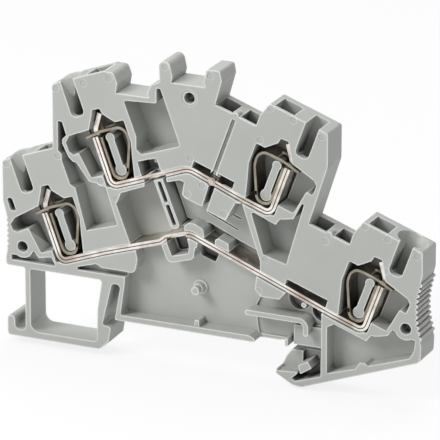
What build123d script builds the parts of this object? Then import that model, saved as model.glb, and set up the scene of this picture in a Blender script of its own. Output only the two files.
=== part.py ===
"""Double level terminal block: one moulding, two current bars and four cage-clamp springs.

X runs along the block with its zero over the middle of the rail, Z goes up from the rail seat, and Y
goes from the open side of the moulding to its closed side. Depths are measured from the open side.
"""

import os
from collections import namedtuple
from math import atan2, cos, degrees, dist, radians, sin

from build123d import *

# Driving dimensions of the moulding, in millimetres and degrees
block_width = 5.2
closed_wall = 1.1
tilt = 20.0
corner = 0.3
rib_wall = 0.8
wire_floor = 3.4
channel_floor = 3.2
middle_floor = 2.7
foot_floor = 2.6
rail_floor = 2.5
lip_floor = 1.6
shallow_floor = 1.2

# The rail that the feet hold
rail_width = 35.0
rail_lip = 1.0
rail_play = 0.3
lip_relief = 0.12

# Outer walls and levels
left_end = -34.2
upper_left_end = -25.75
upper_right_end = 18.55
right_end = 33.55
foot_bottom = -5.1
seat_level = 6.1
marker_low = 35.65
marker_high = 38.45
ear_top = 41.2

# Clamps: one shape, four places
tower_top_left = 15.2
tower_top_right = 14.0
slot_width = 2.2
slot_middle = 3.25
slot_end_left = 9.5
slot_end_right = 8.7
slot_depth = 4.0
funnel_radius = 2.4
funnel_depth = 3.0
shaft_length = 3.2
shaft_inner = -3.2
shaft_front = 0.5
bridge_reach = 11.2
contact_height = 1.35
peg_radius = 0.9
peg_top_radius = 0.72
peg_rise = 5.1
peg_neck = 1.15
peg_front = 1.2

# Current bars and springs
bar_thick = 0.9
bar_front = 0.35
bar_play = 0.1
bar_bend = 1.1
tongue_rise = 9.0
tongue_lean = 1.5
tongue_thick = 0.7
tongue_play = 0.2
edge_line = 0.16
knob_radius = 0.62
knob_front = 0.1
pad_length = 1.7
pad_width = 0.6
pad_rise = 0.08
spring_thick = 0.42
spring_front = 0.7
spring_play = 0.08
side_strip = 0.52
arch = 6.4
upright_play = 0.15

# Pins and marks
cover_pin_radius = 0.87
cover_boss_radius = 1.75
stud_radius = 0.62
mark_radius = 0.57
nub_radius = 0.5
stud_place = (-2.7, 6.5)
mark_depth = 0.08

deep = block_width - closed_wall
front = Plane.XZ.offset(block_width / 2)
rail_half = rail_width / 2
rail_stop = rail_half + rail_play
rail_left = -rail_stop
bar_width = deep - bar_front - bar_play
spring_width = deep - spring_front - bar_play
window_width = spring_width - 2 * side_strip
tongue_width = window_width - 2 * tongue_play
middle = bar_front + bar_width / 2
spring_loop = peg_radius + spring_play + spring_thick / 2
bar_drop = spring_loop + spring_thick / 2 + spring_play + bar_thick / 2
upright_place = bar_drop
upright_rise = arch - spring_thick - upright_play

Clamp = namedtuple("Clamp", "name x z side top slot_end pocket_end")
pocket_right = [(6.4, 6.3), (7.0, 5.7), (7.0, 4.0), (5.9, 4.2), (5.2, 0.05)]
pocket_upper_left = [(5.9, 7.0), (6.75, 6.2), (6.75, 4.7), (6.2, 4.0), (5.25, 4.2), (4.55, 0.05)]
pocket_lower_left = [(7.0, 6.2), (8.0, 5.4), (7.9, 4.4), (7.3, 4.0), (5.25, 4.2), (4.55, 0.05)]
upper_left = Clamp("upper_left", -15.12, 23.41, -1, tower_top_left, slot_end_left, pocket_upper_left)
upper_right = Clamp("upper_right", 8.28, 22.81, 1, tower_top_right, slot_end_right, pocket_right)
lower_left = Clamp("lower_left", -23.62, 10.31, -1, tower_top_left, slot_end_left, pocket_lower_left)
lower_right = Clamp("lower_right", 23.13, 6.81, 1, tower_top_right, slot_end_right, pocket_right)
clamps = [upper_left, upper_right, lower_left, lower_right]


def at(clamp, u, v):
    """Place of a point in a clamp's own leaning frame: u outwards along the bar, v up the tower."""
    a = radians(tilt)
    return (clamp.x + clamp.side * (u * cos(a) + v * sin(a)), clamp.z - u * sin(a) + v * cos(a))


def top_at(clamp, x):
    """Point of a tower's sloping top over the place x."""
    a = radians(tilt)
    u = (clamp.side * (x - clamp.x) - clamp.top * sin(a)) / cos(a)
    return (x, clamp.z - u * sin(a) + clamp.top * cos(a))


def leaning(start, side, u, v):
    """Point u along the slope and v up from a starting point, in the lean of one side."""
    a = radians(tilt)
    return (start[0] + side * (u * cos(a) + v * sin(a)), start[1] - u * sin(a) + v * cos(a))


def on_line(start, end, x):
    """Point over the place x on the line through two points."""
    return (x, start[1] + (x - start[0]) * (end[1] - start[1]) / (end[0] - start[0]))


def face(points, radius=corner):
    """Closed outline with rounded corners on the open side."""
    with BuildSketch(front) as outline:
        with BuildLine():
            FilletPolyline(*points, radius=radius, close=True)
        make_face()
    return outline.sketch


def recess(points, depth=deep, start=0.0, radius=corner):
    """Sink a pocket with this outline from one depth to another."""
    shape = face(points, radius).moved(Location((0, start, 0)))
    extrude(shape, amount=start - depth, mode=Mode.SUBTRACT)


def wall(points, top=0.0, bottom=deep, radius=0.15):
    """Stand a block with this outline on the floor of a pocket, up to a depth under the open side."""
    shape = face(points, radius).moved(Location((0, top, 0)))
    extrude(shape, amount=top - bottom)


def rib(points, width=rib_wall, top=0.0, bottom=deep, mode=Mode.ADD, radius=0.5):
    """Wall of one thickness that follows a path, or the groove of that form."""
    with BuildSketch(front.offset(-top)) as strip:
        with BuildLine() as path:
            if len(points) > 2:
                FilletPolyline(*points, radius=radius)
            else:
                Line(*points)
        trace(path.line, line_width=width)
    extrude(strip.sketch, amount=top - bottom, mode=mode)


def slot(start, end, width, bottom, top=0.0):
    """Groove with round ends between two points."""
    with BuildSketch(front.offset(-top)) as groove:
        with Locations(((start[0] + end[0]) / 2, (start[1] + end[1]) / 2)):
            SlotCenterToCenter(dist(start, end), width,
                               rotation=degrees(atan2(end[1] - start[1], end[0] - start[0])))
    extrude(groove.sketch, amount=top - bottom, mode=Mode.SUBTRACT)


def rounds(centres, radius, top=0.0, bottom=deep, mode=Mode.SUBTRACT):
    """Round pegs, holes or marks of one radius."""
    with BuildSketch(front.offset(-top)) as circles:
        with Locations(*centres):
            Circle(radius)
    extrude(circles.sketch, amount=top - bottom, mode=mode)


# Outline of the moulding

marker_left = (-15.35, -9.95)
marker_right = (-6.35, -0.9)
step_upper = (0.7, 36.0)
step_lower = (15.65, 19.85)
tower_face = -4.7
foot_web = -30.65
foot_lip = -33.7
hook_edge = rail_left + 1.35
nose_tip = rail_stop - 7.4
seat_end = nose_tip - 0.2
foot_slope_low = (14.6, -5.9)
foot_slope_high = (33.4, 0.95)
grip_middle = 8.7
grip_hollow = 0.95

outline = [
    ((foot_lip, foot_bottom), 0.5),
    ((foot_lip, foot_bottom + 3.15), 0.5),
    ((foot_lip + 1.25, foot_bottom + 3.15), 0.5),
    ((foot_lip + 1.25, foot_bottom + 1.1), 0.7),
    ((foot_web, foot_bottom + 1.1), 0.7),
    ((foot_web, seat_level), 0.3),
    ((left_end + 0.35, seat_level), 0.5),
    ((left_end + 0.4, seat_level + 1.3), 0.3),
    ((left_end + 0.85, seat_level + 3.6), 2.0),
    ((left_end + 0.8, seat_level + 7.2), 2.0),
    ((left_end, seat_level + 10.2), 1.0),
    (top_at(lower_left, left_end), 0.6),
    (top_at(lower_left, upper_left_end), 0.0),
    (top_at(upper_left, upper_left_end), 0.7),
    (top_at(upper_left, marker_left[0] - 1.9), 0.2),
    ((marker_left[0] - 1.5, 38.75), 0.35),
    ((marker_left[0] - 0.35, 38.75), 0.8),
    ((marker_left[0] + 0.25, 37.1), 0.25),
    ((marker_left[0], marker_low), 0.0),
    ((marker_left[1], marker_low), 0.0),
    ((marker_left[1] - 0.3, 36.3), 0.1),
    ((marker_left[1] + 0.35, 37.7), 0.2),
    ((marker_right[0] - 1.85, 38.3), 0.15),
    ((marker_right[0] - 2.0, ear_top + 0.35), 0.85),
    ((marker_right[0] - 0.3, ear_top + 0.35), 0.85),
    ((marker_right[0] + 0.2, marker_high + 0.9), 0.2),
    ((marker_right[0], marker_high), 0.0),
    ((marker_right[1], marker_high), 0.0),
    ((marker_right[1] - 0.25, marker_high + 0.8), 0.1),
    ((marker_right[1] + 0.2, ear_top), 0.4),
    ((marker_right[1] + 2.35, ear_top), 0.4),
    ((marker_right[1] + 2.65, ear_top - 1.5), 0.6),
    (step_upper, 0.0),
    (leaning(step_upper, 1, 6.9, 0), 0.15),
    (at(upper_right, tower_face, 11.7), 1.0),
    (at(upper_right, tower_face + 0.75, tower_top_right), 0.3),
    (top_at(upper_right, upper_right_end), 0.4),
    ((upper_right_end, 28.9), 2.0),
    (step_lower, 0.0),
    (leaning(step_lower, 1, 6.85, 0), 0.15),
    (at(lower_right, tower_face, 11.7), 1.0),
    (at(lower_right, tower_face + 0.75, tower_top_right), 0.3),
    (top_at(lower_right, right_end), 0.4),
    ((right_end, 14.4), 0.5),
    ((right_end - grip_hollow, grip_middle + 1.8), 3.0),
    ((right_end - grip_hollow, grip_middle - 1.8), 3.0),
    ((right_end - 0.05, 3.4), 1.0),
    (foot_slope_high, 1.0),
    (foot_slope_low, 0.9),
    ((13.2, -5.75), 0.8),
    ((nose_tip, -4.2), 0.35),
    ((nose_tip + 0.8, -2.3), 0.6),
    ((nose_tip + 1.7, -rail_lip - 0.05), 0.3),
    ((rail_stop, -rail_lip - 0.05), 0.1),
    ((rail_stop, lip_relief), 0.05),
    ((seat_end, lip_relief), 0.03),
    ((seat_end, 0.0), 0.03),
    ((rail_left + 2.05, 0.0), 0.2),
    ((rail_left + 3.05, 5.7), 0.6),
    ((rail_left + 1.6, 5.7), 0.6),
    ((rail_left - 0.05, -rail_lip - 0.05), 0.3),
    ((hook_edge, -1.4), 0.25),
    ((hook_edge - 0.4, -3.7), 0.5),
    ((hook_edge - 1.85, foot_bottom), 0.4),
]
foot_window = [
    (foot_web + 0.85, foot_bottom + 1.1),
    (foot_web + 0.85, seat_level - 0.1),
    (rail_left - 0.05, seat_level - 0.1),
    (rail_left - 0.8, 1.3),
    (rail_left - 0.95, foot_bottom + 1.1),
]

# Routes of the two current bars, along the middle of the strip

bar_line = -bar_drop
flat_end = -3.2


def upright(clamp):
    """Top and foot of a bar's upright in one clamp."""
    return [at(clamp, upright_place, upright_rise), at(clamp, upright_place, bar_line)]


def leaving(clamp, x):
    """Point over x where a bar still runs at the clamp's own slope."""
    return on_line(at(clamp, upright_place, bar_line), at(clamp, 0, bar_line), x)


upper_apex = leaving(upper_left, -3.7)
lower_apex = (-3.6, 15.35)
jog_low = (-8.4, 13.35)
jog_high = (-7.4, 14.15)
upper_route = (upright(upper_left) + [upper_apex, at(upper_right, flat_end, bar_line)]
               + upright(upper_right)[::-1])
upper_bends = [bar_bend, 2.5, 2.0, bar_bend]
lower_route = (upright(lower_left) + [leaving(lower_left, -17.5), jog_low, jog_high, lower_apex,
                                      at(lower_right, flat_end, bar_line)]
               + upright(lower_right)[::-1])
lower_bends = [bar_bend, 3.0, 0.6, 0.6, 2.5, 2.0, bar_bend]


def on_upper(x):
    """Point on the upper bar's middle line, between its uprights."""
    left, right = upper_route[1:3] if x < upper_apex[0] else upper_route[2:4]
    return on_line(left, right, x)


def on_lower(x):
    """Point on the lower bar's long falling run, or on its run at the left."""
    left, right = lower_route[2:4] if x < jog_low[0] else lower_route[5:7]
    return on_line(left, right, x)


with BuildPart() as housing:
    with BuildSketch(front):
        with BuildLine():
            FilletPolyline(*[p for p, r in outline], radius=[r for p, r in outline], close=True)
        make_face()
    extrude(amount=-block_width)

    # Grip ridges on the two ends
    ridge_pitch = 0.83
    ridge_radius = 0.27
    rounds([(left_end + 0.8, seat_level + 3.0 + i * ridge_pitch) for i in range(7)], ridge_radius, 0,
           block_width, Mode.ADD)
    grips = [grip_middle + i * ridge_pitch for i in range(-5, 6)]
    rounds([(right_end - grip_hollow + 0.04 * (z - grip_middle) ** 2, z) for z in grips], ridge_radius, 0,
           block_width, Mode.ADD)

    recess(foot_window, depth=block_width, radius=[1.4, 0.4, 0.4, 0.8, 0.6])

    for clamp in clamps:
        # Cavity round the spring, with the recess where the driver's blade comes down
        recess([at(clamp, u, v) for u, v in [(-2.3, bar_line), (-3.1, 1.4), (-3.8, 4.0), (-3.8, 7.4),
                                             (-2.3, 7.4), (-0.7, 9.0), (-0.55, 9.9), (0.75, 10.0),
                                             (1.15, 9.2), (2.45, 7.0), (4.15, 6.6), (4.15, 5.2),
                                             (2.7, 4.9), (2.6, bar_line)]])
        # Pocket where the conductor's end lies
        recess([at(clamp, u, v) for u, v in [(2.0, 7.2), *clamp.pocket_end, (2.0, 0.05)]], depth=wire_floor)
        # Conductor's way in: slot, hidden bore and funnel
        low, high = slot_middle - slot_width / 2, slot_middle + slot_width / 2
        recess([at(clamp, u, v) for u, v in [(low, clamp.slot_end), (high, clamp.slot_end),
                                             (high, clamp.top + 1), (low, clamp.top + 1)]],
               depth=slot_depth, radius=0.8)
        recess([at(clamp, u, v) for u, v in [(low, 5), (high, 5), (high, clamp.top), (low, clamp.top)]],
               depth=slot_depth, start=1.0)
        x, z = at(clamp, slot_middle, clamp.top - funnel_depth)
        lean = radians(tilt)
        up = (clamp.side * sin(lean), 0, cos(lean))
        with Locations(Plane(origin=(x, 0, z), z_dir=up)):
            Cone(slot_width / 2, 2 * funnel_radius - slot_width / 2, 2 * funnel_depth,
                 align=(Align.CENTER, Align.CENTER, Align.MIN), mode=Mode.SUBTRACT)
        # Shaft for the driver's blade
        recess([at(clamp, u, v) for u, v in [(shaft_inner, 6.5), (shaft_inner + shaft_length, 6.5),
                                             (shaft_inner + shaft_length, clamp.top + 1),
                                             (shaft_inner, clamp.top + 1)]],
               depth=slot_depth, start=shaft_front)

    # Slot beside the lower left wire pocket
    recess([at(lower_left, u, v) for u, v in [(7.13, 9.29), (6.65, 9.43), (6.25, 9.08), (6.25, 7.1),
                                              (7.15, 7.49)]], depth=channel_floor, radius=0.25)

    # Shafts for plug-in bridges, two down to each bar, with the windows where they touch it
    bridge_shafts = [(0.05, 2.75), (4.15, 6.75)]
    window_foot = 0.15 - bridge_reach
    for start, windows in [(step_upper, [(-0.1, 2.9), (4.0, 6.85)]), (step_lower, [(-0.1, 6.85)])]:
        for low, high in bridge_shafts:
            recess([leaning(start, 1, low, -bridge_reach), leaning(start, 1, high, -bridge_reach),
                    leaning(start, 1, high, 1), leaning(start, 1, low, 1)], depth=slot_depth, start=shaft_front,
                   radius=0.2)
        for low, high in windows:
            recess([leaning(start, 1, low, window_foot), leaning(start, 1, high, window_foot),
                    leaning(start, 1, high, window_foot + contact_height),
                    leaning(start, 1, low, window_foot + contact_height)], depth=slot_depth - 0.1, radius=0.1)
        rounds([leaning(start, 1, 3.45, -0.1)], nub_radius, 0, 1.6, Mode.ADD)
    rib([leaning(step_upper, 1, 3.45, -0.75), leaning(step_upper, 1, 3.45, window_foot - 0.1)], 0.65,
        bottom=shaft_front, mode=Mode.SUBTRACT)
    knob = leaning(step_upper, 1, 3.45, window_foot - bar_thick / 2)
    recess([leaning(step_upper, 1, 2.7, window_foot - 0.2), leaning(step_upper, 1, 4.2, window_foot - 0.2),
            leaning(step_upper, 1, 4.0, window_foot + 0.9), leaning(step_upper, 1, 3.0, window_foot + 1.3)],
           depth=1.6, radius=0.1)

    # Pockets between the towers
    recess([(-14.1, 34.7), (-8.75, 34.95), (-8.75, 37.3), (-8.1, 37.3), (-4.95, 28.85), (-11.2, 26.7),
            (-12.05, 27.4), (-12.05, 29.4), (-13.0, 31.9)])
    recess([(-11.9, 25.5), (-9.8, 26.2), (-9.2, 24.2), (-11.2, 23.3)], depth=wire_floor, radius=0.15)
    recess([(-10.2, 26.0), (-8.8, 26.5), (-7.8, 24.0), (-9.6, 23.6)], depth=1.2, radius=0.15)
    recess([(-9.9, 25.2), (-8.5, 25.7), (-7.8, 24.0), (-9.6, 23.6)], depth=1.9, radius=0.1)
    recess([(-24.9, 30.1), (-24.9, 25.5), (-24.3, 24.9), (-24.3, 24.0), (-22.95, 20.4), (-22.1, 19.9),
            (-20.35, 13.5), (-15.2, 15.1), (-17.1, 20.8), (-18.1, 20.9), (-18.6, 21.2), (-19.8, 21.3),
            (-21.9, 24.0), (-22.4, 24.0), (-23.1, 24.6), (-24.15, 26.6), (-24.15, 27.3), (-23.5, 28.0),
            (-24.15, 30.0)], depth=channel_floor, radius=0.12)

    # Space between the two bars
    recess([(-14.6, 20.25), (-15.4, 18.4), on_lower(-12.9), jog_low, jog_high, lower_apex, on_lower(7.9),
            (7.95, 12.8), (5.05, 21.3), upper_route[3], upper_apex, on_upper(-10.75), (-10.75, 21.8)],
           radius=0.12)
    wall([(-7.3, 23.2), (-5.0, 16.9), (-1.2, 16.6), (3.3, 14.6), (6.7, 13.3), (5.2, 21.6), (1.0, 23.9),
          (-3.4, 25.0)], middle_floor, deep)
    # Pocket right of the middle, up into the space beside the upper tower
    recess([(6.5, 20.1), (8.4, 14.0), (12.1, 13.0), (14.9, 22.7), (14.5, 22.7), (13.2, 20.2), (11.0, 19.8),
            (10.4, 18.9), (6.9, 20.3)], radius=0.15)

    # Space over the rail, open below beyond the base wall's end
    base_end = nose_tip - 3.3
    wall_side = rail_stop - 0.05
    recess([(-14.0, 7.9), (-14.1, 6.0), (-14.85, 0.9), (base_end - 0.9, 0.95), (base_end, 0.5),
            (base_end - 0.4, -0.5), (12.7, -0.5), (12.7, 3.2), (wall_side, 3.2), on_lower(wall_side), lower_apex,
            jog_high, jog_low, on_lower(-12.4), (-11.95, 10.2), (-12.4, 7.9)], depth=rail_floor,
           radius=[0.1, 0.3, 0.3, 0.2, 0.25, 0.1, 0.1, 0.3, 0.1, 0.1, 0.3, 0.1, 0.1, 0.1, 1.2, 0.9])
    recess([(6.8, 0.6), (6.5, 2.0), (6.3, 5.0), (7.2, 7.0), on_lower(12.0), on_lower(wall_side - 0.1),
            (wall_side - 0.1, 3.3), (12.6, 3.3), (12.6, 0.6)], depth=rail_floor + 0.3)
    recess([(12.5, -0.45), (12.5, 3.4), (wall_side, 3.4), (wall_side, -0.45)], depth=lip_floor)
    recess([(-21.9, 7.05), (-21.9, 7.5), (-18.8, 8.45), (-17.8, 7.95), (-13.5, 7.95), (-13.5, 7.05)],
           depth=shallow_floor, radius=0.12)
    recess([(-32.9, 7.05), (-32.9, 7.9), (-29.9, 7.9), (-29.15, 9.0), (-28.3, 7.95), (-26.2, 8.4),
            (-25.5, 7.05)], depth=shallow_floor, radius=0.15)
    rounds([(13.15, 6.95), (16.9, 5.6)], 1.75, rail_floor)

    # Right foot: thinned nose, hook pocket and the long pocket
    recess([(nose_tip + 0.3, -3.85), (nose_tip + 0.3, -0.5), (13.9, -0.5), (13.9, -3.6)], depth=2.3,
           radius=0.15)
    recess([(13.0, -4.7), (13.55, -5.1), (17.7, -3.75), (17.7, -0.5), (13.9, -0.5), (13.9, -3.9)],
           depth=wire_floor, radius=0.12)
    wall([(14.1, -2.5), (15.6, -1.7), (16.25, -2.65), (14.45, -3.85)], 0, wire_floor)
    recess([(18.65, 4.2), (18.65, -3.05), (23.2, -1.6), (23.9, -0.55), (24.7, -0.5), (25.2, -0.85),
            (31.7, 1.35), (32.4, 2.7), (32.6, 4.2), (30.0, 5.0), (29.0, 5.4), (28.2, 4.35), (26.4, 3.95),
            (25.6, 3.95), (24.9, 3.0), (19.8, 4.85)], depth=foot_floor, radius=0.15)

    # Blocks and ribs standing between the bars
    rib([(-8.55, 23.3), (-5.9, 16.6)], 1.5)
    rounds([(-5.9, 16.6)], 0.75, mode=Mode.ADD)
    slot((-8.3, 22.65), (-7.3, 20.1), 0.65, middle_floor)
    slot((-6.95, 19.2), (-5.95, 16.7), 0.65, middle_floor)
    wall([(-7.1, 23.0), (-5.0, 23.6), (-4.3, 23.4), (-4.65, 21.4), (-4.2, 20.95), (-1.4, 20.0),
          (-0.1, 24.2), on_upper(-3.0), on_upper(-7.3)], 0, deep, 0.12)
    wall([(0.6, 23.2), (-0.7, 19.5), (-0.3, 19.3), (2.4, 18.4), (3.9, 21.3), (4.9, 21.4), upper_route[3],
          on_upper(1.0)], 0, deep, 0.12)
    rib([(-1.7, 18.3), (3.2, 16.2)], 0.2, middle_floor - 0.1, middle_floor + 0.5, Mode.SUBTRACT)
    rib([(2.3, 18.5), (3.7, 17.95)], 0.2, middle_floor - 0.1, middle_floor + 0.5, Mode.SUBTRACT)
    wall([on_lower(-4.4), (-4.45, 16.45), (-3.7, 17.05), (-2.8, 17.05), (-1.4, 16.4), on_lower(-1.1)], 0.3,
         radius=[0.1, 0.5, 0.5, 0.5, 0.7, 0.1])
    wall([on_lower(0.5), (0.55, 15.0), (1.1, 15.3), (2.7, 14.7), on_lower(2.8)], 0.3)

    # Ribs and studs over the rail
    rib([(-7.8, 13.8), (-6.65, 10.95), (-3.2, 11.95), (-2.9, 14.6)], 1.0, 0, rail_floor)
    wall([(-3.9, 15.0), (-3.5, 13.4), (-2.3, 13.4), (-2.0, 15.0)], 0, rail_floor)
    recess([(-7.0, 14.0), (-6.2, 11.75), (-3.85, 12.4), (-4.1, 14.6)], depth=wire_floor)
    recess([(-2.7, 13.2), (-2.7, 11.5), (-0.35, 10.7), (0.25, 12.1)])
    wall([on_lower(7.4), (7.1, 8.3), (8.1, 7.35), (11.0, 7.35), (12.0, 8.5), on_lower(12.2)], 0, wire_floor)
    rib([(5.9, 4.55), (15.25, 4.55), (15.25, 2.6)], rib_wall, 0, wire_floor, radius=1.1)
    rounds([(5.9, 4.55), (15.25, 2.6)], rib_wall / 2, 0, wire_floor, Mode.ADD)
    for wider, top in [(0.0, 0.3), (0.18, 1.3), (0.5, 2.2)]:
        rounds([stud_place], stud_radius + wider, top, rail_floor, Mode.ADD)
    rounds([(14.6, 6.75)], 0.4, 0.8, deep, Mode.ADD)
    wall([(-2.9, 0.5), (-2.75, 1.9), (-2.1, 1.9), (-2.0, 0.5)], 0.3, rail_floor)
    wall([(11.8, 0.05), (11.8, 1.3), (12.25, 1.3), (12.25, 0.05)], 0.3, wire_floor, 0.1)
    wall([(wall_side, -3.5), (wall_side, 6.2), (wall_side + 0.9, 6.0), (wall_side + 0.9, -3.3)], radius=0.05)

    # Grooves that hold the bars
    for route, bends in [(upper_route, upper_bends), (lower_route, lower_bends)]:
        rib(route, bar_thick + 2 * bar_play, bottom=deep, mode=Mode.SUBTRACT, radius=bends)
    rounds([knob], knob_radius + bar_play, 0, 1.3)

    # Pegs inside the spring loops
    for clamp in clamps:
        rounds([at(clamp, 0, 0)], peg_radius, peg_front, deep, Mode.ADD)
        rounds([at(clamp, 0, peg_rise)], peg_top_radius, peg_front, deep, Mode.ADD)
        rib([at(clamp, 0, 0), at(clamp, 0, peg_rise)], peg_neck, peg_front, deep)

    # Holes for the end cover's pins, through the moulding
    cover_pins = [(-31.0, 9.37), (31.05, 5.87), (-3.45, 36.45)]
    rounds(cover_pins[:2], cover_boss_radius, 0, deep, Mode.ADD)
    rounds(cover_pins[2:], cover_pin_radius + 0.45, 0, mark_depth)
    rounds(cover_pins, cover_pin_radius, 0, block_width)

    # Round marks of the ejector pins
    rounds([(-33.5, 22.1), (-25.15, 35.1), (-20.6, 36.5), (-16.4, 37.8), (-7.35, 40.7), (-0.05, 40.3),
            (9.5, 36.7), (13.1, 35.3), (17.6, 33.4), (7.85, 31.6), (24.55, 20.7), (28.1, 19.25), (32.7, 17.3),
            (27.8, 14.3), (18.3, 17.5), (-3.3, 27.3), (-3.75, 21.6), (-1.4, 23.3), (8.8, 13.3), (2.1, 19.4),
            (-15.25, 19.3), (-24.9, 24.6), (7.7, 8.2), (-17.9, 21.6)], mark_radius, 0, mark_depth)

housing.part.label = "housing"


def make_bar(route, bends, ends, neck, pads=()):
    """Folded strip with a tongue at each end, a thinned neck, raised pads and the fine line of stamping."""
    with BuildPart() as bar:
        rib(route, bar_thick, bar_front, bar_front + bar_width, radius=bends)
        for clamp in ends:
            rib([at(clamp, upright_place, upright_rise - 0.1), at(clamp, upright_place, upright_rise + 1.0),
                 at(clamp, upright_place - tongue_lean, tongue_rise)], tongue_thick,
                middle - tongue_width / 2, middle + tongue_width / 2, radius=bar_bend)
        recess([neck[0], neck[1], (neck[1][0], neck[1][1] - bar_thick), (neck[0][0], neck[0][1] - bar_thick)],
               depth=bar_front + 1.2, start=bar_front - 0.1, radius=0.05)
        rib(route, edge_line, bar_front, bar_front + edge_line, Mode.SUBTRACT, bends)
        for x, depth in pads:
            ends_of_pad = [on_lower(x - pad_length / 2), on_lower(x + pad_length / 2)]
            rib([(px, pz + bar_thick / 2) for px, pz in ends_of_pad], 2 * pad_rise, depth, depth + pad_width)
    return bar.part


upper_strip = make_bar(upper_route, upper_bends, [upper_left, upper_right],
                       [on_upper(-10.9), on_upper(-7.4)])
with BuildPart() as upper_bar:
    add(upper_strip)
    rounds([knob], knob_radius, knob_front + 0.15, 1.2, Mode.ADD)
    rounds([knob], knob_radius - 0.2, knob_front, 1.2, Mode.ADD)
upper_bar.part.label = "upper_bar"
lower_bar = make_bar(lower_route, lower_bends, [lower_left, lower_right],
                     [on_line(jog_high, lower_apex, -7.3), on_line(jog_high, lower_apex, -4.2)],
                     pads=[(-0.45, 3.0), (4.6, 1.3)])
lower_bar.label = "lower_bar"


def make_spring(clamp):
    """Strip that lies on the upright, loops round the peg and comes back over the top with a window."""
    leg = upright_place - bar_thick / 2 - spring_play - spring_thick / 2
    loop = spring_loop
    points = [(leg, 5.5), (leg, -loop), (-0.9, -loop), (-3.1, 3.8), (-3.25, arch - 0.05), (1.0, arch),
              (3.7, arch - 0.5)]
    with BuildPart() as spring:
        rib([at(clamp, u, v) for u, v in points], spring_thick, spring_front, spring_front + spring_width,
            radius=[loop, loop, 3.0, 1.5, 6.0])
        recess([at(clamp, u, v) for u, v in [(-0.6, arch - 0.6), (2.7, arch - 0.6), (2.7, arch + 0.4),
                                             (-0.6, arch + 0.4)]],
               depth=middle + window_width / 2, start=middle - window_width / 2, radius=0.05)
    return spring.part


os.makedirs("parts", exist_ok=True)
export_step(housing.part, "parts/housing.step")
export_step(upper_bar.part, "parts/upper_bar.step")
export_step(lower_bar, "parts/lower_bar.step")
for clamp in clamps:
    spring = make_spring(clamp)
    spring.label = "spring_" + clamp.name
    export_step(spring, "parts/" + spring.label + ".step")
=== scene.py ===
"""Double level terminal block: finish of the moulding, the current bars and the clamp springs."""

from math import cos, radians, sin

import bpy
import numpy as np
from mathutils import Matrix, Vector


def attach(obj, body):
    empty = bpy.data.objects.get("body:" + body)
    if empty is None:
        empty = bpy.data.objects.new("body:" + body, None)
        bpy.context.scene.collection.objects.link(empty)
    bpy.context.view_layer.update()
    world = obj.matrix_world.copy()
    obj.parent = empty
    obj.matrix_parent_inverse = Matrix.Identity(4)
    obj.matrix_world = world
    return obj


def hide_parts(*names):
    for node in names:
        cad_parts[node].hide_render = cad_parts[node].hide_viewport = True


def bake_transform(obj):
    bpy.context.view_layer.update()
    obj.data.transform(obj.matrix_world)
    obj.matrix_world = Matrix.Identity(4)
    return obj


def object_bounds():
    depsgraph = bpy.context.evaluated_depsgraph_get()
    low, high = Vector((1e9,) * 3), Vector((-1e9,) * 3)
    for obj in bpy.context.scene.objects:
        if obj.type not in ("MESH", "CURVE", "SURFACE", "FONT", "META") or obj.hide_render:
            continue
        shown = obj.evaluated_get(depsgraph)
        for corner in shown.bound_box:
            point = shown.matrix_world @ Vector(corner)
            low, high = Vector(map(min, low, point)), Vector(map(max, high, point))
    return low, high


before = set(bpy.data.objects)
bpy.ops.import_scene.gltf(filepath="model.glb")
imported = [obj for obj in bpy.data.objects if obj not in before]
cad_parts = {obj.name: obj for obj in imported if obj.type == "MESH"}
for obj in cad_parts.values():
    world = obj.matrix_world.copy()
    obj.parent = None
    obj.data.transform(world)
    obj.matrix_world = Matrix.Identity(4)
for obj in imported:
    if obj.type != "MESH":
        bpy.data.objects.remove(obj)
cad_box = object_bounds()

# The moulding
# One shot of light grey polyamide, open on one side. The mould's satin surface shows on its walls,
# its edges are slightly rounded, and the floors of its pockets are the same plain grey. Shade is painted
# dark into its deep hollows and narrow gaps, and a highlight is painted pale along its outer edges.

moulding_light = "#B5B7B3"
moulding_dark = "#AAACA8"
# Painted highlight: the pale colour laid along the moulding's outer edges.
moulding_painted_highlight = "#E6E8E4"
# Painted shade: the near-black laid into deep hollows and narrow gaps.
pocket_shade = "#1F1B17"
polyamide_ior = 1.53
satin_low, satin_high = 0.42, 0.56
flow_mark_mm = 7.0
# The real texture is a few hundredths of a millimetre: this is as coarse as it needs to be to show.
mould_texture_mm = 0.12
mould_texture_depth_mm = 0.03
moulding_edge_mm = 0.06
# Reach of the painted edge highlight.
highlight_reach_mm = 0.3
# Reach of the painted shade in wide hollows and in narrow gaps.
corner_mm = 6.0
crevice_mm = 0.7
# The sockets of a Mix node that blends two colours.
mix_share, mix_first, mix_second, mix_colour = 0, 6, 7, 2


def linear(hex_colour, alpha=1.0):
    """sRGB hex turned to linear light: c / 12.92 up to 0.04045, else ((c + 0.055) / 1.055) ^ 2.4."""
    values = [int(hex_colour[i:i + 2], 16) / 255 for i in (1, 3, 5)]
    return [v / 12.92 if v <= 0.04045 else ((v + 0.055) / 1.055) ** 2.4 for v in values] + [alpha]


def add_node(tree, kind, links=(), **settings):
    """Adds a node; links are (socket name or number, source socket or value), settings its properties."""
    node = tree.nodes.new(kind)
    for name, value in settings.items():
        setattr(node, name, value)
    for socket, source in links:
        if isinstance(source, bpy.types.NodeSocket):
            tree.links.new(source, node.inputs[socket])
        else:
            node.inputs[socket].default_value = source
    return node


def new_material(name):
    """Empty material with its output and shader, and the piece's own coordinates in metres."""
    material = bpy.data.materials.new(name)
    material.use_nodes = True
    tree = material.node_tree
    tree.nodes.clear()
    shader = add_node(tree, "ShaderNodeBsdfPrincipled")
    add_node(tree, "ShaderNodeOutputMaterial", [("Surface", shader.outputs["BSDF"])])
    place = add_node(tree, "ShaderNodeTexCoord").outputs["Object"]
    return material, tree, shader, place


def per_mm(size_mm):
    """Scale of a pattern whose features are that many millimetres, on coordinates in metres."""
    return 1000.0 / size_mm


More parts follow.
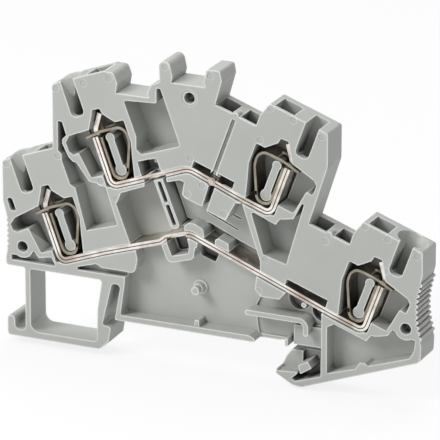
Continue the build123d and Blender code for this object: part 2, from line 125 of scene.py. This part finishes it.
def near_share(tree, distance_mm, full_below, none_above, inside=False):
    """1 in a hollow, or inside an outer edge, and 0 in the open, by the share of free directions there."""
    free = add_node(tree, "ShaderNodeAmbientOcclusion", [("Distance", distance_mm / 1000)], samples=16,
                    inside=inside, only_local=inside)
    share = add_node(tree, "ShaderNodeMapRange", [("Value", free.outputs["AO"]),
                                                  ("From Min", full_below), ("From Max", none_above),
                                                  ("To Min", 1.0), ("To Max", 0.0)])
    return share.outputs["Result"]


def moulded_polyamide():
    """Grey polyamide 66: satin, faint flow clouds, a painted edge highlight and painted shade in hollows.
    """
    material, tree, shader, place = new_material("moulded grey polyamide")
    flow = add_node(tree, "ShaderNodeTexNoise", [("Vector", place), ("Scale", per_mm(flow_mark_mm)),
                                                 ("Detail", 3.0), ("Roughness", 0.5)])
    tone = add_node(tree, "ShaderNodeMix", [(mix_share, flow.outputs["Fac"]),
                                            (mix_first, linear(moulding_dark)),
                                            (mix_second, linear(moulding_light))], data_type="RGBA")
    # Painted shade: the colour turns near-black in deep hollows and narrow gaps.
    hollow = near_share(tree, corner_mm, full_below=0.05, none_above=0.27)
    crevice = near_share(tree, crevice_mm, full_below=0.1, none_above=0.5)
    dark = add_node(tree, "ShaderNodeMath", [(0, hollow), (1, crevice)], operation="MAXIMUM")
    shaded = add_node(tree, "ShaderNodeMix", [(mix_share, dark.outputs[0]),
                                              (mix_first, tone.outputs[mix_colour]),
                                              (mix_second, linear(pocket_shade))], data_type="RGBA")
    # Painted highlight: the colour turns pale along the outer edges.
    edge_highlight_share = near_share(tree, highlight_reach_mm, full_below=0.5, none_above=0.9, inside=True)
    edged = add_node(tree, "ShaderNodeMix", [(mix_share, edge_highlight_share), (mix_first, shaded.outputs[mix_colour]),
                                             (mix_second, linear(moulding_painted_highlight))], data_type="RGBA")
    grain = add_node(tree, "ShaderNodeTexNoise", [("Vector", place), ("Scale", per_mm(mould_texture_mm)),
                                                  ("Detail", 2.0)])
    bump = add_node(tree, "ShaderNodeBump", [("Strength", 0.1), ("Distance", mould_texture_depth_mm / 1000),
                                             ("Height", grain.outputs["Fac"])])
    rough = add_node(tree, "ShaderNodeMapRange", [("Value", grain.outputs["Fac"]), ("To Min", satin_low),
                                                  ("To Max", satin_high)])
    tree.links.new(edged.outputs[mix_colour], shader.inputs["Base Color"])
    tree.links.new(rough.outputs["Result"], shader.inputs["Roughness"])
    tree.links.new(bump.outputs["Normal"], shader.inputs["Normal"])
    shader.inputs["IOR"].default_value = polyamide_ior
    return material


def round_edges(piece, modifier, width_mm, sharp_from):
    """Rounds a piece's edges that turn by more than that many degrees."""
    bevel = piece.modifiers.new(modifier, "BEVEL")
    bevel.width = width_mm / 1000
    bevel.segments = 2
    bevel.limit_method = "ANGLE"
    bevel.angle_limit = radians(sharp_from)


def finish_node(node, material, edge_mm):
    """Gives a carried-over node its material, joins its triangles and rounds its sharp edges."""
    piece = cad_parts[node]
    piece.data.materials.clear()
    piece.data.materials.append(material)
    weld = piece.modifiers.new("joined", "WELD")
    weld.merge_threshold = 1e-6
    round_edges(piece, "edges", edge_mm, sharp_from=35)


finish_node("housing", moulded_polyamide(), moulding_edge_mm)

# The current bars
# Two strips of copper, 0.9 mm thick, stamped, folded and then plated with tin. Rolling leaves faint
# lines along the strip and handling dulls the tin a little. A fine dark line of painted shade runs
# along each edge, where the strip lies in a narrow gap beside other surfaces.

tin = "#F4EEE7"
tin_dull = "#BDB0A5"
# Painted shade: the near-black of the narrow gaps along the strip.
tin_painted_shade = "#2E2720"
tin_bright, tin_rubbed = 0.22, 0.42
tin_cloud_mm = 3.0
# Reach of the painted gap shade.
gap_shade_mm = 0.3
# The real lines are a few hundredths of a millimetre apart: these are wide enough to show.
rolling_line_mm = 0.25
rolling_line_depth_mm = 0.02
rolling_stretch = 6.0
bar_edge_mm = 0.08


def tinned_copper():
    """Tin over copper: a soft metal gloss with fine streaks, duller clouds and painted shade in narrow
    gaps.
    """
    material, tree, shader, place = new_material("tin-plated copper strip")
    stretch = add_node(tree, "ShaderNodeMapping", [("Vector", place),
                                                   ("Scale", (1.0, rolling_stretch, 1.0))])
    streak = add_node(tree, "ShaderNodeTexNoise", [("Vector", stretch.outputs["Vector"]),
                                                   ("Scale", per_mm(rolling_line_mm * rolling_stretch)),
                                                   ("Detail", 3.0)])
    cloud = add_node(tree, "ShaderNodeTexNoise", [("Vector", place), ("Scale", per_mm(tin_cloud_mm)),
                                                  ("Detail", 3.0)])
    patch = add_node(tree, "ShaderNodeMapRange", [("Value", cloud.outputs["Fac"]), ("From Min", 0.35),
                                                  ("From Max", 0.6)])
    plate = add_node(tree, "ShaderNodeMix", [(mix_share, patch.outputs["Result"]),
                                             (mix_first, linear(tin_dull)),
                                             (mix_second, linear(tin))], data_type="RGBA")
    # Painted shade: a dark line where the strip lies close to other surfaces.
    hollow = near_share(tree, gap_shade_mm, full_below=0.35, none_above=0.85)
    lined = add_node(tree, "ShaderNodeMix", [(mix_share, hollow), (mix_first, plate.outputs[mix_colour]),
                                             (mix_second, linear(tin_painted_shade))], data_type="RGBA")
    rough = add_node(tree, "ShaderNodeMapRange", [("Value", streak.outputs["Fac"]), ("To Min", tin_bright),
                                                  ("To Max", tin_rubbed)])
    bump = add_node(tree, "ShaderNodeBump", [("Strength", 0.15), ("Distance", rolling_line_depth_mm / 1000),
                                             ("Height", streak.outputs["Fac"])])
    tree.links.new(lined.outputs[mix_colour], shader.inputs["Base Color"])
    tree.links.new(rough.outputs["Result"], shader.inputs["Roughness"])
    tree.links.new(bump.outputs["Normal"], shader.inputs["Normal"])
    shader.inputs["Metallic"].default_value = 1.0
    return material


tinned = tinned_copper()
for bar in ("upper_bar", "lower_bar"):
    finish_node(bar, tinned, bar_edge_mm)

# The clamp springs
# Four strips of hardened chrome-nickel steel, 0.42 mm thick. Each lies on its bar's upright, loops
# round a peg and comes back over the top, where the upright's tongue goes through its window.

spring_steel = "#BBB3A4"
spring_steel_dark = "#615A49"
steel_bright, steel_dull = 0.25, 0.4
steel_cloud_mm = 1.8
strip_thick_mm = 0.42
sheared_edge_mm = 0.05

# A clamp's own frame, in millimetres: u runs outwards and v up, both leaning by the tilt. Each place is
# the X and Z of the loop's middle in the block, and its side.
tilt = radians(20)
clamp_places = {
    "upper_left": (-15.12, 23.41, -1),
    "upper_right": (8.28, 22.81, 1),
    "lower_left": (-23.62, 10.31, -1),
    "lower_right": (23.13, 6.81, 1),
}
leg_place = 1.19
loop_radius = 1.19
loop_low = -0.9
arch_level = 6.4
leg_and_loop = [(leg_place, 5.5), (leg_place, -loop_radius), (loop_low, -loop_radius), (-1.5, 0.178)]
arm_and_arch = [(loop_low, -loop_radius), (-3.1, 3.8), (-3.25, arch_level - 0.05), (1.0, arch_level),
                (3.7, arch_level - 0.5)]
arm_radii = [3.0, 1.5, 6.0]
arc_step = 0.08
window_start, window_end = -0.6, 2.7
window_rows = 12
tip_line = 3.2
# The strip's two edges and its window's two edges, from the open side inwards. The window lies in the
# middle one of the three bands between them.
strip_lines = [-1.9, -1.555, 0.705, 1.4]
window_band = 1


def rounded_path(corners, radii):
    """Polyline with rounded corners. An arc's centre lies radius / sin(half the angle) from the corner,
    on the line that halves it, and the arc's first point is turned about that centre in even steps."""
    points = [np.array([corners[0]], float)]
    for before, here, after, radius in zip(corners, corners[1:], corners[2:], radii):
        here = np.array(here, float)
        a = np.array(before) - here
        b = np.array(after) - here
        a, b = a / np.linalg.norm(a), b / np.linalg.norm(b)
        half = np.arccos(np.clip(a @ b, -1, 1)) / 2
        centre = here + (a + b) / np.linalg.norm(a + b) * radius / np.sin(half)
        start = here + a * radius / np.tan(half) - centre
        turn = np.pi - 2 * half
        side = np.sign(a[0] * b[1] - a[1] * b[0])
        angles = -side * np.linspace(0, turn, max(4, int(radius * turn / arc_step)))
        points.append(centre + np.stack([start[0] * np.cos(angles) - start[1] * np.sin(angles),
                                         start[0] * np.sin(angles) + start[1] * np.cos(angles)], -1))
    points.append([corners[-1]])
    return np.vstack(points)


def in_block(place, u, v):
    """X and Z of a clamp's point in the block: turned by the tilt, mirrored by its side, then moved."""
    x, z, side = place
    return x + side * (u * cos(tilt) + v * sin(tilt)), z - u * sin(tilt) + v * cos(tilt)


def strip_mesh(name, place, path, open_rows, material):
    """Strip: point (i, j) is the path's point i, in the block's frame, at the depth of line j. An open
    row has no face in the window's band. Half the thickness goes on each side of the surface."""
    across, along = np.meshgrid(np.array(strip_lines), np.arange(len(path)))
    u, v = path[along].transpose(2, 0, 1)
    xs, zs = in_block(place, u, v)
    points = np.stack([xs, across, zs], -1).reshape(-1, 3) / 1000
    rows, lines = across.shape
    i, j = np.meshgrid(np.arange(rows - 1), np.arange(lines - 1), indexing="ij")
    keep = ~((j == window_band) & open_rows[:-1, None])
    first = (i * lines + j)[keep]
    faces = np.stack([first, first + 1, first + lines + 1, first + lines], -1)
    if place[2] < 0:
        faces = faces[:, ::-1]
    mesh = bpy.data.meshes.new(name)
    mesh.from_pydata(points.tolist(), [], faces.tolist())
    mesh.materials.append(material)
    piece = bpy.data.objects.new(name, mesh)
    bpy.context.collection.objects.link(piece)
    thick = piece.modifiers.new("thickness", "SOLIDIFY")
    thick.thickness = strip_thick_mm / 1000
    thick.offset = 0
    thick.use_even_offset = True
    round_edges(piece, "sheared edge", sheared_edge_mm, sharp_from=50)
    return piece


def hardened_strip():
    """Chrome-nickel spring steel: a metal gloss, brown-grey in clouds from hardening."""
    material, tree, shader, place = new_material("hardened spring steel strip")
    cloud = add_node(tree, "ShaderNodeTexNoise", [("Vector", place), ("Scale", per_mm(steel_cloud_mm)),
                                                  ("Detail", 3.0)])
    tone = add_node(tree, "ShaderNodeMix", [(mix_share, cloud.outputs["Fac"]),
                                            (mix_first, linear(spring_steel_dark)),
                                            (mix_second, linear(spring_steel))], data_type="RGBA")
    rough = add_node(tree, "ShaderNodeMapRange", [("Value", cloud.outputs["Fac"]), ("To Min", steel_bright),
                                                  ("To Max", steel_dull)])
    tree.links.new(tone.outputs[mix_colour], shader.inputs["Base Color"])
    tree.links.new(rough.outputs["Result"], shader.inputs["Roughness"])
    shader.inputs["Metallic"].default_value = 1.0
    return material


# The arm takes over where the loop ends. Its arch has a row at each step of the window, then the tip.
still_path = rounded_path(leg_and_loop, [loop_radius, loop_radius])
arm_path = np.vstack([still_path[-2], rounded_path(arm_and_arch, arm_radii)[1:]])
over_top = np.argmax(arm_path[:, 0] > loop_low)
rise, arch = arm_path[:over_top], arm_path[over_top - 1:]
arch_rows = np.append(np.linspace(window_start, window_end, window_rows), tip_line)
arch_heights = np.interp(arch_rows, arch[:, 0], arch[:, 1])
arm_path = np.vstack([rise, np.stack([arch_rows, arch_heights], -1), arch[-1]])
no_rows = np.zeros(len(still_path), bool)
window_open = (arm_path[:, 0] >= window_start) & (arm_path[:, 0] < window_end)
steel = hardened_strip()
for clamp, place in clamp_places.items():
    still = strip_mesh("spring_loop_" + clamp, place, still_path, no_rows, steel)
    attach(still, "block")
    arm = strip_mesh("spring_arm_" + clamp, place, arm_path, window_open, steel)
    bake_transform(arm)
    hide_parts("spring_" + clamp)

# Floor and light
# The block stands before a plain white ground, lit softly from above and from the left, as in a
# catalogue picture. The floor takes the shadow and carries on into the white.

pure_white = linear("#FFFFFF")
paper_white = "#F4F4F4"
glow_share = 0.85
room_light = 0.33
floor_gap = 0.0004
floor_level = cad_box[0][2] - floor_gap
floor_size = 3.0


def white_ground():
    """Matt white paper that glows for the camera, so that it ends white but still takes the shadow."""
    material = bpy.data.materials.new("matt white ground")
    material.use_nodes = True
    tree = material.node_tree
    tree.nodes.clear()
    paper = add_node(tree, "ShaderNodeBsdfDiffuse", [("Color", linear(paper_white))])
    glow = add_node(tree, "ShaderNodeEmission", [("Color", pure_white), ("Strength", 1.0)])
    ray = add_node(tree, "ShaderNodeLightPath")
    share = add_node(tree, "ShaderNodeMath", [(0, ray.outputs["Is Camera Ray"]), (1, glow_share)],
                     operation="MULTIPLY")
    mix = add_node(tree, "ShaderNodeMixShader", [(0, share.outputs[0]), (1, paper.outputs[0]),
                                                 (2, glow.outputs[0])])
    add_node(tree, "ShaderNodeOutputMaterial", [("Surface", mix.outputs[0])])
    return material


half = floor_size / 2
floor_corners = [(-half, -half, floor_level), (half, -half, floor_level),
                 (half, half, floor_level), (-half, half, floor_level)]
floor_mesh = bpy.data.meshes.new("floor")
floor_mesh.from_pydata(floor_corners, [], [(0, 1, 2, 3)])
floor_mesh.materials.append(white_ground())
floor = bpy.data.objects.new("floor", floor_mesh)
bpy.context.collection.objects.link(floor)

world = bpy.data.worlds.new("soft room")
bpy.context.scene.world = world
world.use_nodes = True
tree = world.node_tree
tree.nodes.clear()
room = add_node(tree, "ShaderNodeBackground", [("Color", pure_white), ("Strength", room_light)])
white = add_node(tree, "ShaderNodeBackground", [("Color", pure_white), ("Strength", 1.0)])
ray = add_node(tree, "ShaderNodeLightPath")
either = add_node(tree, "ShaderNodeMath", [(0, ray.outputs["Is Camera Ray"]),
                                           (1, ray.outputs["Is Glossy Ray"])], operation="MAXIMUM")
mix = add_node(tree, "ShaderNodeMixShader", [(0, either.outputs[0]), (1, room.outputs[0]),
                                             (2, white.outputs[0])])
add_node(tree, "ShaderNodeOutputWorld", [("Surface", mix.outputs[0])])

block_middle = Vector((0, 0, 0.018))


def lamp(name, place, size, power):
    """Square soft box of that side in metres and that power in watts, turned to the block's middle."""
    data = bpy.data.lights.new(name, "AREA")
    data.shape = "SQUARE"
    data.size = size
    data.energy = power
    light = bpy.data.objects.new(name, data)
    bpy.context.collection.objects.link(light)
    light.location = place
    light.rotation_euler = (block_middle - Vector(place)).to_track_quat("-Z", "Y").to_euler()


lamp("key", place=(-0.3, -0.35, 0.4), size=0.25, power=2.4)
lamp("fill", place=(0.35, -0.45, 0.1), size=0.4, power=0.1)
lamp("top", place=(0.0, 0.15, 0.5), size=0.3, power=1.1)

# Camera
# The picture looks at the open side from its right and a little above, from about ten lengths away.
# The aim is the point of the open side that falls in the middle of the picture.

azimuth, elevation = radians(24.3), radians(19.55)
distance = 0.7
frame_px = 440
px_per_mm = 6.817
sensor_mm = 36
aim = Vector((0.00149, -0.0026, 0.01835))
back = Vector((sin(azimuth) * cos(elevation), -cos(azimuth) * cos(elevation), sin(elevation)))
right = Vector((cos(azimuth), sin(azimuth), 0))
up = back.cross(right)
camera_data = bpy.data.cameras.new("camera")
camera = bpy.data.objects.new("camera", camera_data)
bpy.context.collection.objects.link(camera)
turn = Matrix((right, up, back)).transposed().to_4x4()
camera.matrix_world = Matrix.Translation(aim + back * distance) @ turn
camera_data.sensor_width = sensor_mm
camera_data.lens = sensor_mm * px_per_mm * distance * 1000 / frame_px
camera_data.clip_start = 0.01
camera_data.clip_end = 20
bpy.context.scene.camera = camera
bpy.context.scene.view_settings.view_transform = "Standard"
